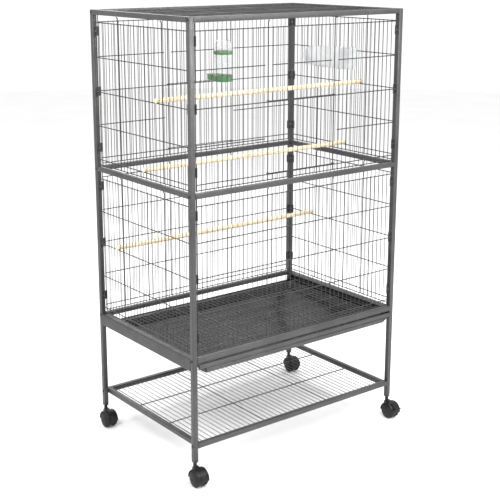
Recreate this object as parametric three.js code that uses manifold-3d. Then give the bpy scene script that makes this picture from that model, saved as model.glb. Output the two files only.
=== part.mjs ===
// Flight cage for small birds on a rolling stand: a square-tube frame with two tiers of welded wire walls,
// a slide-up door front and back, a pull-out tray and grate, a wire shelf and four twin-wheel casters.
// Millimetres. X runs along the front, Y towards the back, Z up.
import * as THREE from "three";
import { mergeVertices } from "three/addons/utils/BufferGeometryUtils.js";
import Module from "manifold-3d";

const wasm = await Module();
wasm.setup();

// Overall sizes, over the outer faces of the posts and from the floor to the top of the frame.
const WIDTH = 780;
const DEPTH = 515;
const HEIGHT = 1315;

// Square frame tube.
const TUBE = 15;
const TUBE_WALL = 1.2;
const TUBE_CHAMFER = 1.5;

// Heights of the rails' top faces.
const MID_RAIL_TOP = 847.5;
const FLOOR_RAIL_TOP = 379;
const SHELF_RAIL_TOP = 122.5;

// Clear gap between neighbouring solids, and the overlap that joins pieces of one solid.
const GAP = 0.3;
const JOIN = 0.3;

// Wires: plain uprights, the rows welded across them, and the thick guide rods.
const WIRE = 2;
const ROW = 2.5;
const ROD = 4;
const WIRE_PITCH = 17.55;
const ROW_SPACING = 102;
const LAYER_GAP = 0.2;
const WALL_INSET = 8;
const WALL_SIDE_GAP = { wide: 6.5, narrow: 5.5 };
const TOP_ROW_DROP = 22;
const SILL_ROW_RISE = 22.5;
const WALL_TOP_GAP = 1;
const WALL_FOOT_GAP = 4.8;

// Slide-up door: it hangs on the two guide rods by rings that stand on a row.
const RING_CLEARANCE = 0.1;
const RING_WALL = 2;
const RING_HEIGHT = 3;
const RING_SIDES = 6;
const ROW_BREAK = 13;
const DOOR_LAYER = WIRE / 2 + LAYER_GAP + ROW + 0.3;

// Clips that hold the walls' edge wires on the posts.
const CLIP_HEIGHT = 27;
const CLIP_THICKNESS = 2;
const CLIP_DROP = 48;
const CLIP_RISE = 56;

// Bolts whose round heads show on the outer faces of the posts.
const BOLT_HEAD_RADIUS = 4;
const BOLT_HEAD_HEIGHT = 2.2;

// Sheet aprons under the side walls, with ledges for the grate and the tray.
const SHEET = 1.2;
const APRON_DROP = 2.5;
const APRON_HEIGHT = 37;
const APRON_FLANGE = 26;
const LEDGE_REACH = 30;

// Tray and grate, which pull out towards the front.
const GRATE_BACK_GAP = 60.5;
const TRAY_RIM_DROP = 6.5;
const TRAY_DEPTH = 21.3;
const TRAY_WALL = 1.5;
const TRAY_RIM_INSET = 5;
const TRAY_BODY_INSET = 25;
const TRAY_TAPER = 4;
const TRAY_BACK_GAP = 16.5;
const LIP_DROP = 0.6;
const LIP_HEIGHT = 12.7;
const FASCIA_FRONT = 3.5;
const FASCIA_BACK = 4.5;
const FASCIA_SHORTER = 24;

// Perches.
const PERCH_DIAMETER = 14;
const PERCH_NECK = 11;
const PERCH_SIDES = 10;
const PERCH_OVERHANG = 3;

// Seed feeder hung inside the front wall.
const BOTTLE_RADIUS = 24;
const BOTTLE_WALL = 1.4;
const BOTTLE_HEIGHT = 94;
const FEEDER_X = -256;
const FEEDER_BELOW_ROW = 38;
const FEEDER_BASE_HEIGHT = 17;
const FEEDER_WALL = 1.5;
const SPOUT_LENGTH = 60;
const SPOUT_WIDTH = 30;
const FEEDER_BAND_RISE = 73;
const FEEDER_BAND_HEIGHT = 9;

// Bath trough hung inside the right wall.
const BATH_LENGTH = 212;
const BATH_DEPTH = 50;
const BATH_HEIGHT = 66;
const BATH_WALL = 1.6;
const BATH_TAPER = 9;
const BATH_Y = 30;
const BATH_TOP_ABOVE_ROW = 9;
const BATH_SLOPE = 36;
const BATH_SLOPE_DROP = 27;

// Casters: a stem in the foot plug, a hood and two wheels on one axle.
const WHEEL_RADIUS = 25;
const WHEEL_INNER = 7.4;
const WHEEL_OUTER = 22;
const WHEEL_DOME = 4;
const WHEEL_SIDES = 16;
const AXLE_RADIUS = 3;
const CASTER_TRAIL = 18;
const WEB_MARGIN = 2.5;
const HOOD_HALF = 6.6;
const FENDER_CLEARANCE = 1.4;
const FENDER_WALL = 2.2;
const FENDER_BELOW = 6;
const FENDER_STEPS = 12;
const LEVER_WIDTH = 22;
const LEVER_THICKNESS = 2.6;
const LEVER_REACH = 11.4;
const STEM_COLLAR = 5.2;
const STEM_RADIUS = 4;
const STEM_NECK = 16.4;
const STEM_INSERT = 14;
const PLUG_CLEARANCE = 0.5;
const PLUG_HEAD = 6;
const PLUG_SHANK = 24;

const postX = WIDTH / 2 - TUBE / 2;
const postY = DEPTH / 2 - TUBE / 2;
const innerX = WIDTH / 2 - TUBE;
const innerY = DEPTH / 2 - TUBE;

// The posts stand on the casters' stems, above the fenders.
const fenderRadius = WHEEL_RADIUS + FENDER_CLEARANCE + FENDER_WALL;
const postFoot = WHEEL_RADIUS + fenderRadius + STEM_NECK;
const fenderHalf = WHEEL_OUTER - WHEEL_DOME;

// The grate hangs just under the front floor rail, and the tray under the grate.
const matThickness = WIRE + LAYER_GAP + ROW + 0.2;
const grateBase = FLOOR_RAIL_TOP - TUBE - GAP - matThickness;
const trayRimBase = grateBase - TRAY_RIM_DROP;
const trayFloor = trayRimBase - TRAY_DEPTH;
const lipTop = grateBase - LIP_DROP;
const lipGroove = lipTop - LIP_HEIGHT;
const apronTop = FLOOR_RAIL_TOP - APRON_DROP;
const apronFoot = apronTop - APRON_HEIGHT;

// The rings' inner radius leaves the clearance at the corners of a square rod in a six-sided hole.
const ringInner = ((ROD / Math.SQRT2 + RING_CLEARANCE) * Math.cos(Math.PI / 12)) / Math.cos(Math.PI / 6);
const ringOuter = ringInner + RING_WALL;

function finish(color, roughness, metalness) {
  return new THREE.MeshStandardMaterial({ color, roughness, metalness });
}
const FRAME_PAINT = finish(0x5c5d5f, 0.55, 0.4);
const WIRE_PAINT = finish(0x4b4c4e, 0.5, 0.45);
const TRAY_PLASTIC = finish(0x2c2d2f, 0.6, 0);
const PINE = finish(0xd9b98c, 0.7, 0);
const GREEN_PLASTIC = finish(0x2f9a4e, 0.4, 0);
const BLACK_PLASTIC = finish(0x1d1e20, 0.5, 0);
const CLEAR_PLASTIC = finish(0xe6ebee, 0.15, 0);
CLEAR_PLASTIC.transparent = true;
CLEAR_PLASTIC.opacity = 0.35;

const cage = new THREE.Group();

// ---- Solids ----

function box(x0, x1, y0, y1, z0, z1) {
  const g = new THREE.BoxGeometry(x1 - x0, y1 - y0, z1 - z0);
  return g.translate((x0 + x1) / 2, (y0 + y1) / 2, (z0 + z1) / 2);
}

function solid(geometry) {
  const bare = geometry.clone();
  bare.deleteAttribute("normal");
  bare.deleteAttribute("uv");
  const g = mergeVertices(bare, 1e-4);
  const vertProperties = new Float32Array(g.attributes.position.array);
  const triVerts = new Uint32Array(g.index.array);
  return new wasm.Manifold(new wasm.Mesh({ numProp: 3, vertProperties, triVerts }));
}

function geometryOf(manifold) {
  const m = manifold.getMesh();
  const g = new THREE.BufferGeometry();
  g.setAttribute("position", new THREE.BufferAttribute(new Float32Array(m.vertProperties), 3));
  g.setIndex(new THREE.BufferAttribute(new Uint32Array(m.triVerts), 1));
  g.computeVertexNormals();
  return g;
}

const joined = (geometries) => geometries.map(solid).reduce((all, next) => all.add(next));
const cutBy = (body, geometries) => geometries.map(solid).reduce((left, next) => left.subtract(next), body);

function add(name, geometry, material, parent = cage) {
  const mesh = new THREE.Mesh(geometry, material);
  mesh.name = name;
  parent.add(mesh);
  return mesh;
}

function polygon(points) {
  return new THREE.Shape(points.map(([x, y]) => new THREE.Vector2(x, y)));
}

function extrude(shape, depth) {
  return new THREE.ExtrudeGeometry(shape, { depth, bevelEnabled: false });
}

// A profile drawn in Y and Z, extruded along X from x0 to x1.
function extrudeAlongX(points, x0, x1) {
  const g = extrude(polygon(points), x1 - x0);
  g.rotateX(Math.PI / 2).rotateZ(Math.PI / 2);
  return g.translate(x0, 0, 0);
}

// A round or ring-shaped body about the Z axis; points are [radius, height].
function turned(points, sides) {
  const profile = points.map(([r, z]) => new THREE.Vector2(r, z));
  return new THREE.LatheGeometry(profile, sides).rotateX(Math.PI / 2);
}

// ---- Frame ----

function tubeSection() {
  const h = TUBE / 2;
  const c = h - TUBE_CHAMFER;
  const shape = polygon([[-c, -h], [c, -h], [h, -c], [h, c], [c, h], [-c, h], [-h, c], [-h, -c]]);
  const i = h - TUBE_WALL;
  shape.holes.push(new THREE.Path(polygon([[-i, -i], [-i, i], [i, i], [i, -i]]).getPoints()));
  return shape;
}

// A rail of square tube centred on x or y 0, along X or Y, with its top face at the given height.
function rail(name, alongX, length, offset, top) {
  const g = extrude(tubeSection(), length).translate(0, 0, -length / 2);
  const mesh = add(name, g, FRAME_PAINT);
  mesh.rotation.set(alongX ? 0 : Math.PI / 2, alongX ? Math.PI / 2 : 0, 0);
  mesh.position.set(alongX ? 0 : offset, alongX ? offset : 0, top - TUBE / 2);
}

function railRing(level, top, sides = ["front", "back", "left", "right"], inset = 0) {
  const along = 2 * (innerX - GAP);
  const across = 2 * (innerY - GAP);
  const make = {
    front: () => rail(level + "_rail_front", true, along, -postY, top),
    back: () => rail(level + "_rail_back", true, along, postY, top),
    left: () => rail(level + "_rail_left", false, across, inset - postX, top),
    right: () => rail(level + "_rail_right", false, across, postX - inset, top),
  };
  sides.forEach((side) => make[side]());
}

const TIERS = {
  upper: { top: HEIGHT - TUBE, foot: MID_RAIL_TOP },
  lower: { top: MID_RAIL_TOP - TUBE, foot: FLOOR_RAIL_TOP },
};
const clipHeights = Object.values(TIERS).flatMap(({ top, foot }) => [
  top - CLIP_DROP,
  (top + foot) / 2,
  foot + CLIP_RISE,
]);
const boltHeights = [HEIGHT, MID_RAIL_TOP, FLOOR_RAIL_TOP, SHELF_RAIL_TOP].map((top) => top - TUBE / 2);

// A post, closed at the top, with the clips on its two inner faces and the bolt heads on its outer X face.
// It is drawn at the origin for the corner at +X +Y, and mirrored to the other corners by sx and sy.
function post(name, sx, sy) {
  const h = TUBE / 2;
  const i = h - TUBE_WALL;
  const outer = extrude(polygon(tubeSection().getPoints()), HEIGHT - postFoot).translate(0, 0, postFoot);
  const clips = clipHeights.flatMap((z) => {
    const low = z - CLIP_HEIGHT / 2;
    const high = z + CLIP_HEIGHT / 2;
    const faceX = postX - (WIDTH / 2 - WALL_INSET - WIRE / 2 - GAP);
    const faceY = postY - (DEPTH / 2 - WALL_INSET - WIRE / 2 - GAP);
    const reachX = h + WALL_SIDE_GAP.wide + WIRE;
    const reachY = h + WALL_SIDE_GAP.narrow + WIRE;
    return [
      box(...span(sx, -reachX, -h + JOIN), ...span(sy, -faceY - CLIP_THICKNESS, -faceY), low, high),
      box(...span(sx, -faceX - CLIP_THICKNESS, -faceX), ...span(sy, -reachY, -h + JOIN), low, high),
    ];
  });
  const heads = boltHeights.map((z) => {
    const head = turned([[0, -JOIN], [BOLT_HEAD_RADIUS, -JOIN], [BOLT_HEAD_RADIUS, 1], [2, BOLT_HEAD_HEIGHT],
      [0, BOLT_HEAD_HEIGHT]], 8);
    return head.rotateY((sx * Math.PI) / 2).translate(sx * h, 0, z);
  });
  const body = cutBy(joined([outer, ...heads]), [box(-i, i, -i, i, postFoot - 1, HEIGHT - TUBE_WALL)]);
  const whole = clips.map(solid).reduce((all, next) => all.add(next), body);
  add(name, geometryOf(whole), FRAME_PAINT).position.set(sx * postX, sy * postY, 0);
}

// The interval from a to b, mirrored when the sign is negative, as low then high.
function span(sign, a, b) {
  return sign > 0 ? [a, b] : [-b, -a];
}

const CORNERS = { front_left: [-1, -1], front_right: [1, -1], back_left: [-1, 1], back_right: [1, 1] };
Object.entries(CORNERS).forEach(([corner, [sx, sy]]) => post("post_" + corner, sx, sy));
railRing("top", HEIGHT);
railRing("mid", MID_RAIL_TOP);
// The shelf's side rails stand inside the posts, between its front and back rails.
railRing("shelf", SHELF_RAIL_TOP, ["front", "back", "left", "right"], TUBE);
railRing("floor", FLOOR_RAIL_TOP, ["front", "back"]);

// ---- Wire mats ----

// Even spaces between the mat's two edge wires, as near to the nominal pitch as the width allows.
function spacing(width) {
  const spaces = Math.round(width / WIRE_PITCH);
  return { spaces, pitch: width / spaces };
}

// A welded mat in its own plane: x across the uprights, y along them, z outwards. The uprights and the
// two end bars share one layer. The rows lie on the layer outside it and are welded to the edge wires.
// The plain uprights end at the stop, and the rods and edge wires go on to the mat's high edge.
// An opening between two rods has no uprights between its low and high edge.
function wireMat({ width, low, high, stop = high, rods, rows, opening, overhang = 0 }) {
  const { spaces, pitch } = spacing(width);
  const at = (i) => -width / 2 + i * pitch;
  const thickness = (i) => (rods.includes(i) ? ROD : WIRE);
  const windows = [];
  const window = (x0, x1, y0, y1) => windows.push(box(x0, x1, y0, y1, -WIRE, WIRE));
  for (let i = 0; i < spaces; i += 1) {
    const x0 = at(i) + thickness(i) / 2;
    const x1 = at(i + 1) - thickness(i + 1) / 2;
    const inDoor = opening && i >= rods[0] && i < rods[1];
    if (inDoor) {
      window(x0, x1, low + ROW, opening.low - ROW / 2);
      window(x0, x1, opening.high + ROW / 2, stop - ROW);
    } else {
      window(x0, x1, low + ROW, stop - ROW);
    }
  }
  if (opening) {
    window(at(rods[0]) + ROD / 2, at(rods[1]) - ROD / 2, opening.low + ROW / 2, opening.high - ROW / 2);
  }
  const plate = box(-width / 2, width / 2, low, stop, -WIRE / 2, WIRE / 2);
  const tips = stop === high ? [] : rods.map((i) =>
    box(at(i) - ROD / 2, at(i) + ROD / 2, stop - ROW, high, -WIRE / 2, WIRE / 2));
  const rowBase = WIRE / 2 + LAYER_GAP;
  const edges = [-1, 1].map((s) =>
    box(s * (width / 2) - ROW / 2, s * (width / 2) + ROW / 2, low - 0.1, high + 0.1, -WIRE / 2 - 0.1,
      rowBase + ROW + 0.1));
  const bars = rows.flatMap(({ y, breaks }) => {
    const ends = [-width / 2 - overhang, ...breaks, width / 2 + overhang];
    const pieces = [];
    for (let k = 0; k < ends.length; k += 2) {
      pieces.push(box(ends[k], ends[k + 1], y - ROW / 2, y + ROW / 2, rowBase, rowBase + ROW));
    }
    return pieces;
  });
  const welds = rows.filter((row) => row.breaks.length === 4).flatMap(({ y }) =>
    [rods[0] + 1, rods[1] - 1].map((i) => box(at(i) - 0.7, at(i) + 0.7, y - 0.8, y + 0.8, 0, rowBase + 1)));
  const uprights = cutBy(solid(plate), windows);
  return [...edges, ...tips, ...bars, ...welds].map(solid).reduce((all, next) => all.add(next), uprights);
}

// ---- Walls and doors ----

const WALLS = {
  front: { turn: 0, width: 2 * (innerX - WALL_SIDE_GAP.wide), out: DEPTH / 2 - WALL_INSET },
  right: { turn: 1, width: 2 * (innerY - WALL_SIDE_GAP.narrow), out: WIDTH / 2 - WALL_INSET },
  back: { turn: 2, width: 2 * (innerX - WALL_SIDE_GAP.wide), out: DEPTH / 2 - WALL_INSET },
  left: { turn: 3, width: 2 * (innerY - WALL_SIDE_GAP.narrow), out: WIDTH / 2 - WALL_INSET },
};

// A wall's guide rods: a third of the way in on the wide walls, about a quarter on the narrow ones.
function rodIndices(side, spaces) {
  const first = side === "front" || side === "back" ? Math.round(spaces / 3) : Math.round(spaces / 4);
  return [first, spaces - first];
}

function rowHeights({ top, foot }) {
  const first = top - TOP_ROW_DROP;
  const last = foot + SILL_ROW_RISE;
  const steps = Math.round((first - last) / ROW_SPACING);
  return Array.from({ length: steps + 1 }, (_, k) => first + ((last - first) * k) / steps);
}

const upperRows = rowHeights(TIERS.upper);
const lowerRows = rowHeights(TIERS.lower);
// The door stands between the sill row and the middle row, and slides up into the rows above.
const middleOf = (rows) => rows[Math.round((rows.length - 1) / 2)];
const doorSill = upperRows[upperRows.length - 1];
const doorHead = middleOf(upperRows);

function wallGroup(side) {
  const group = new THREE.Group();
  group.rotation.z = (WALLS[side].turn * Math.PI) / 2;
  cage.add(group);
  return group;
}

// A mat stands in the wall's plane with its outer side outwards.
function stand(mesh, side) {
  mesh.rotation.x = Math.PI / 2;
  mesh.position.y = -WALLS[side].out;
}

function wall(side, tier) {
  const { width } = WALLS[side];
  const { spaces, pitch } = spacing(width);
  const rods = rodIndices(side, spaces);
  const rodX = width / 2 - rods[0] * pitch;
  const withDoor = tier === "upper" && (side === "front" || side === "back");
  const heights = tier === "upper" ? upperRows : lowerRows;
  const rows = heights.map((y) => {
    const between = y < doorHead - ROW && y > doorSill + ROW;
    const passed = y > doorHead + ROW && y < upperRows[0] - ROW;
    if (withDoor && between) return { y, breaks: [-rodX - ROW_BREAK, rodX + ROW_BREAK] };
    if (withDoor && passed) {
      return { y, breaks: [-rodX - ROW_BREAK, -rodX + ROW_BREAK, rodX - ROW_BREAK, rodX + ROW_BREAK] };
    }
    return { y, breaks: [] };
  });
  const { top, foot } = TIERS[tier];
  const opening = withDoor ? { low: doorSill, high: doorHead } : null;
  const low = foot + WALL_FOOT_GAP;
  const high = top - WALL_TOP_GAP;
  const mat = wireMat({ width, low, high, stop: heights[0] + ROW / 2, rods, rows, opening });
  stand(add(tier + "_wall_" + side, geometryOf(mat), WIRE_PAINT, wallGroup(side)), side);
}

// The door: two bars, the uprights between them and a ring at each end of each bar, on the guide rods.
function door(side) {
  const { width } = WALLS[side];
  const { spaces, pitch } = spacing(width);
  const rods = rodIndices(side, spaces);
  const rodX = width / 2 - rods[0] * pitch;
  const uprightX = (i) => -rodX + i * pitch;
  const count = rods[1] - rods[0];
  const ringMid = ROW / 2 + GAP + RING_HEIGHT / 2;
  const low = doorSill + ringMid;
  const high = doorHead + ringMid;
  const b = ROW / 2;
  const c = uprightX(count - 1) + WIRE / 2;
  const z0 = DOOR_LAYER;
  const z1 = DOOR_LAYER + WIRE;
  const windows = [];
  for (let i = 1; i < count - 1; i += 1) {
    windows.push(box(uprightX(i) + WIRE / 2, uprightX(i + 1) - WIRE / 2, low + b, high - b, z0 - 1, z1 + 1));
  }
  const leaf = cutBy(solid(box(-c, c, low - b, high + b, z0, z1)), windows);
  const bars = [low, high].map((y) => box(-rodX, rodX, y - b, y + b, z0, z1));
  const h = RING_HEIGHT / 2;
  const rings = [-rodX, rodX].flatMap((x) => [low, high].map((y) =>
    turned([[ringInner, -h], [ringOuter, -h], [ringOuter, h], [ringInner, h], [ringInner, -h]], RING_SIDES)
      .rotateX(-Math.PI / 2).translate(x, y, 0)));
  const whole = [...bars, ...rings].map(solid).reduce((all, next) => all.add(next), leaf);
  stand(add("door_" + side, geometryOf(whole), WIRE_PAINT, wallGroup(side)), side);
}

Object.keys(WALLS).forEach((side) => ["upper", "lower"].forEach((tier) => wall(side, tier)));
["front", "back"].forEach(door);

// ---- Roof, shelf and grate mats, which lie flat ----

function flatMat(name, width, halfY, rows, z, overhang, topUp) {
  const { spaces } = spacing(width);
  const first = Math.round(spaces / 3);
  const rods = [first, spaces - first];
  const crossing = rows.map((y) => ({ y, breaks: [] }));
  const mat = wireMat({ width, low: -halfY, high: halfY, rods, rows: crossing, opening: null, overhang });
  const mesh = add(name, geometryOf(mat), WIRE_PAINT);
  mesh.rotation.x = topUp ? 0 : Math.PI;
  mesh.position.z = z;
}

const matWidth = WALLS.front.width;
const matReach = innerX - GAP - matWidth / 2;
const third = (innerY - GAP) / 3;
const ROOF_DROP = 7;
const SHELF_DROP = 3.5;
const SHELF_MAT_MARGIN = 9;
flatMat("roof_mat", matWidth, innerY - GAP, [-third, third], HEIGHT - ROOF_DROP, matReach, true);
const shelfWidth = 2 * (innerX - TUBE - SHELF_MAT_MARGIN);
const shelfReach = SHELF_MAT_MARGIN - GAP;
flatMat("shelf_mat", shelfWidth, innerY - GAP, [-third, third], SHELF_RAIL_TOP - SHELF_DROP, shelfReach, false);

const trayHalf = innerX - TRAY_RIM_INSET;
const trayBack = innerY - TRAY_BACK_GAP;
const grateBack = innerY - GRATE_BACK_GAP;
const grateFront = DEPTH / 2 - FASCIA_BACK + 1;
const GRATE_ROWS = 5;
function grate() {
  const half = (grateBack + grateFront) / 2;
  const step = (2 * half) / (GRATE_ROWS + 1);
  const rows = Array.from({ length: GRATE_ROWS }, (_, k) => ({ y: -half + step * (k + 1), breaks: [] }));
  const width = 2 * (trayHalf - ROW);
  const first = Math.round(spacing(width).spaces / 3);
  const rods = [first, spacing(width).spaces - first];
  const mat = wireMat({ width, low: -half, high: half, rods, rows, opening: null });
  const mesh = add("grate", geometryOf(mat), WIRE_PAINT);
  mesh.rotation.x = Math.PI;
  mesh.position.set(0, (grateBack - grateFront) / 2, grateBase + 0.1 + ROW + LAYER_GAP + WIRE / 2);
}
grate();

// ---- Aprons ----

// Outline of bent sheet, from points that go along one side; each leg is SHEET thick.
// An apron has a top flange and two ledges.
function apronProfile(ledges) {
  const out = [[0, apronFoot], [SHEET, apronFoot]];
  ledges.forEach((z) => {
    out.push([SHEET, z - SHEET], [LEDGE_REACH, z - SHEET], [LEDGE_REACH, z], [SHEET, z]);
  });
  const under = apronTop - SHEET;
  out.push([SHEET, under], [APRON_FLANGE, under], [APRON_FLANGE, apronTop], [0, apronTop]);
  return out;
}

// The profile is drawn from the outer face inwards, at the back of the cage, and extruded along X.
function apron(name, turn, out, length, ledges) {
  const points = apronProfile(ledges).map(([inwards, z]) => [-inwards, z]).reverse();
  const g = extrudeAlongX(points, -length / 2, length / 2).translate(0, out, 0);
  const group = new THREE.Group();
  group.rotation.z = (turn * Math.PI) / 2;
  cage.add(group);
  add(name, g, FRAME_PAINT, group);
}

const ledgeHeights = [trayRimBase - GAP, grateBase - GAP];
apron("apron_left", 1, WIDTH / 2, 2 * (innerY - GAP), ledgeHeights);
apron("apron_right", -1, WIDTH / 2, 2 * (innerY - GAP), ledgeHeights);

// ---- Tray ----

// A box whose lower end is narrower than its upper end by the taper on each side.
function taperedBox(x, y0, y1, z0, z1, taper) {
  const g = box(-x, x, y0, y1, z0, z1);
  const p = g.attributes.position;
  for (let i = 0; i < p.count; i += 1) {
    if (p.getZ(i) < (z0 + z1) / 2) {
      p.setX(i, p.getX(i) - Math.sign(p.getX(i)) * taper);
      p.setY(i, p.getY(i) + (p.getY(i) < (y0 + y1) / 2 ? taper : -taper));
    }
  }
  return g;
}

function tray() {
  const front = -(DEPTH / 2 - FASCIA_BACK - GAP);
  const rimTop = trayRimBase + TRAY_WALL;
  const bodyX = innerX - TRAY_BODY_INSET;
  const rimEdge = TRAY_BODY_INSET - TRAY_RIM_INSET;
  const rim = box(-trayHalf, trayHalf, front, trayBack, trayRimBase, rimTop);
  const outer = taperedBox(bodyX, front + 1, trayBack - rimEdge, trayFloor, trayRimBase + JOIN, TRAY_TAPER);
  const w = TRAY_WALL;
  const inner = taperedBox(bodyX - w, front + 1 + w, trayBack - rimEdge - w, trayFloor + w, rimTop + 1,
    TRAY_TAPER);
  add("tray", geometryOf(cutBy(joined([rim, outer]), [inner])), TRAY_PLASTIC);
}
tray();

// The tray's front: a full-width lip above a groove, and a shorter face below it.
function trayFront() {
  const f = -(DEPTH / 2 + FASCIA_FRONT);
  const b = -(DEPTH / 2 - FASCIA_BACK);
  const lip = [[b, lipGroove], [b, lipTop], [f + 2, lipTop], [f, lipTop - 2], [f, lipGroove + 2.5],
    [f + 3, lipGroove]];
  const face = [[b, trayFloor], [b, lipGroove + JOIN], [f + 3, lipGroove + JOIN], [f + 3, lipGroove - 1.5],
    [f + 0.6, lipGroove - 3], [f + 0.6, trayFloor + 2], [f + 2.6, trayFloor]];
  const whole = joined([
    extrudeAlongX([...lip].reverse(), -trayHalf, trayHalf),
    extrudeAlongX([...face].reverse(), -trayHalf + FASCIA_SHORTER, trayHalf - FASCIA_SHORTER),
  ]);
  add("tray_front", geometryOf(whole), FRAME_PAINT);
}
trayFront();

// ---- Perches ----

// A dowel between two uprights of each side wall, its necks standing on the row of the given height.
function perch(name, gapIndex, rowZ) {
  const { pitch, spaces } = spacing(WALLS.left.width);
  const y = (gapIndex + (spaces % 2 === 1 ? 0 : 0.5)) * pitch;
  const rowIn = WALLS.left.out + WIRE / 2 + LAYER_GAP;
  const neckOut = rowIn + ROW + GAP;
  const neckIn = rowIn - GAP;
  const end = neckOut + PERCH_OVERHANG;
  const r = PERCH_DIAMETER / 2;
  const n = PERCH_NECK / 2;
  const half = [[0, end], [r, end], [r, neckOut], [n, neckOut], [n, neckIn], [r, neckIn]];
  const points = [...half.map(([q, x]) => [q, -x]), ...[...half].reverse()];
  const mesh = add(name, turned(points, PERCH_SIDES), PINE);
  mesh.rotation.y = Math.PI / 2;
  mesh.position.set(0, y, rowZ + ROW / 2 + GAP + n);
}
perch("perch_upper", -5, doorHead);
perch("perch_middle", -1, doorSill);
perch("perch_lower", 8, middleOf(lowerRows));

// ---- Feeder ----

const feederY = -(DEPTH / 2 - WALL_INSET - WIRE / 2 - GAP - BOTTLE_RADIUS - FEEDER_WALL - GAP);

// Outline of a round cup with a straight spout towards the back, grown by the given amount.
function feederOutline(grow) {
  const r = BOTTLE_RADIUS + GAP + grow;
  const half = SPOUT_WIDTH / 2 - FEEDER_WALL + grow;
  const tip = SPOUT_LENGTH - FEEDER_WALL + grow;
  const meet = Math.asin(half / r);
  const shape = new THREE.Shape();
  shape.moveTo(half, tip);
  shape.lineTo(-half, tip);
  shape.absarc(0, 0, r, Math.PI / 2 + meet, 2.5 * Math.PI - meet, false);
  // The last point repeats the first, so it is left out.
  return new THREE.Shape(shape.getPoints(8).slice(0, -1));
}

function feeder() {
  const base = upperRows[1] - FEEDER_BELOW_ROW;
  const cup = cutBy(solid(extrude(feederOutline(FEEDER_WALL), FEEDER_BASE_HEIGHT)), [
    extrude(feederOutline(0), FEEDER_BASE_HEIGHT).translate(0, 0, FEEDER_WALL),
  ]);
  add("feeder_base", geometryOf(cup), GREEN_PLASTIC).position.set(FEEDER_X, feederY, base);
  const r = BOTTLE_RADIUS;
  const w = BOTTLE_WALL;
  const low = FEEDER_BASE_HEIGHT - 15;
  const high = FEEDER_BASE_HEIGHT + BOTTLE_HEIGHT;
  const bottle = turned([[r - w, low], [r, low], [r, high - 3], [r - 3, high], [0, high], [0, high - w],
    [r - w, high - w], [r - w, low]], 12);
  add("feeder_bottle", bottle, CLEAR_PLASTIC).position.set(FEEDER_X, feederY, base);
  const inner = r + GAP;
  const outer = inner + FEEDER_WALL;
  const h = FEEDER_BAND_HEIGHT;
  const band = turned([[inner, 0], [outer, 0], [outer, h], [inner, h], [inner, 0]], 12);
  add("feeder_band", band, GREEN_PLASTIC).position.set(FEEDER_X, feederY, base + FEEDER_BAND_RISE);
}
feeder();

// ---- Bath trough ----

function bath() {
  const wallIn = WALLS.right.out - WIRE / 2 - GAP;
  const row = upperRows[1];
  const top = row + BATH_TOP_ABOVE_ROW;
  const foot = top - BATH_HEIGHT;
  const x0 = wallIn - BATH_DEPTH;
  const y0 = BATH_Y - BATH_LENGTH / 2;
  const y1 = BATH_Y + BATH_LENGTH / 2;
  const w = BATH_WALL;
  const profile = (grow, z0, z1) => [
    [x0 + BATH_TAPER - grow, z0],
    [wallIn - w + grow, z0],
    [wallIn - w + grow, z1],
    [x0 + w - grow, z1],
    [x0 + w - grow, (foot + top) / 2],
  ];
  const across = (points, a, b) => extrude(polygon(points), b - a).rotateX(Math.PI / 2).translate(0, b, 0);
  const { pitch, spaces } = spacing(WALLS.right.width);
  const shift = spaces % 2 === 1 ? 0 : 0.5;
  const rowIn = WALLS.right.out + WIRE / 2 + LAYER_GAP;
  const hookTop = row + ROW / 2 + GAP;
  const hooks = [-2, 5].flatMap((k) => {
    const y = (k + shift) * pitch;
    const tip = rowIn + ROW + GAP;
    return [
      box(wallIn - w, tip + 2, y - 4, y + 4, hookTop, hookTop + 2.5),
      box(tip, tip + 2, y - 4, y + 4, row - 4, hookTop + JOIN),
    ];
  });
  const shell = cutBy(solid(across(profile(w, foot, top), y0, y1)), [
    across(profile(0, foot + w, top + 1), y0 + w, y1 - w),
  ]);
  const wedge = [[y1 - BATH_SLOPE, top + 1], [y1 + 1, top + 1], [y1 + 1, top - BATH_SLOPE_DROP]];
  const slope = extrudeAlongX(wedge, x0 - 1, wallIn + 1);
  const whole = hooks.map(solid).reduce((all, next) => all.add(next), cutBy(shell, [slope]));
  add("bath_trough", geometryOf(whole), CLEAR_PLASTIC);
}
bath();

// ---- Feet and casters ----

function footPlug(name, x, y) {
  const i = TUBE / 2 - TUBE_WALL - GAP;
  const h = TUBE / 2 - 0.2;
  const head = taperedBox(h, -h, h, postFoot - PLUG_HEAD, postFoot - GAP, 2.5);
  const shank = box(-i, i, -i, i, postFoot - GAP - JOIN, postFoot + PLUG_SHANK);
  const bore = turned([[0, 0], [STEM_RADIUS + 0.6, 0], [STEM_RADIUS + 0.6, HEIGHT / 2], [0, HEIGHT / 2]], 8);
  add(name, geometryOf(cutBy(joined([head, shank]), [bore])), BLACK_PLASTIC).position.set(x, y, 0);
}

// A profile drawn round the axle: the angle is 0 level with it at the front and 90 degrees above it.
function roundAxle(radius, degrees) {
  const a = (degrees * Math.PI) / 180;
  return [-CASTER_TRAIL - radius * Math.cos(a), WHEEL_RADIUS + radius * Math.sin(a)];
}

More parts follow.
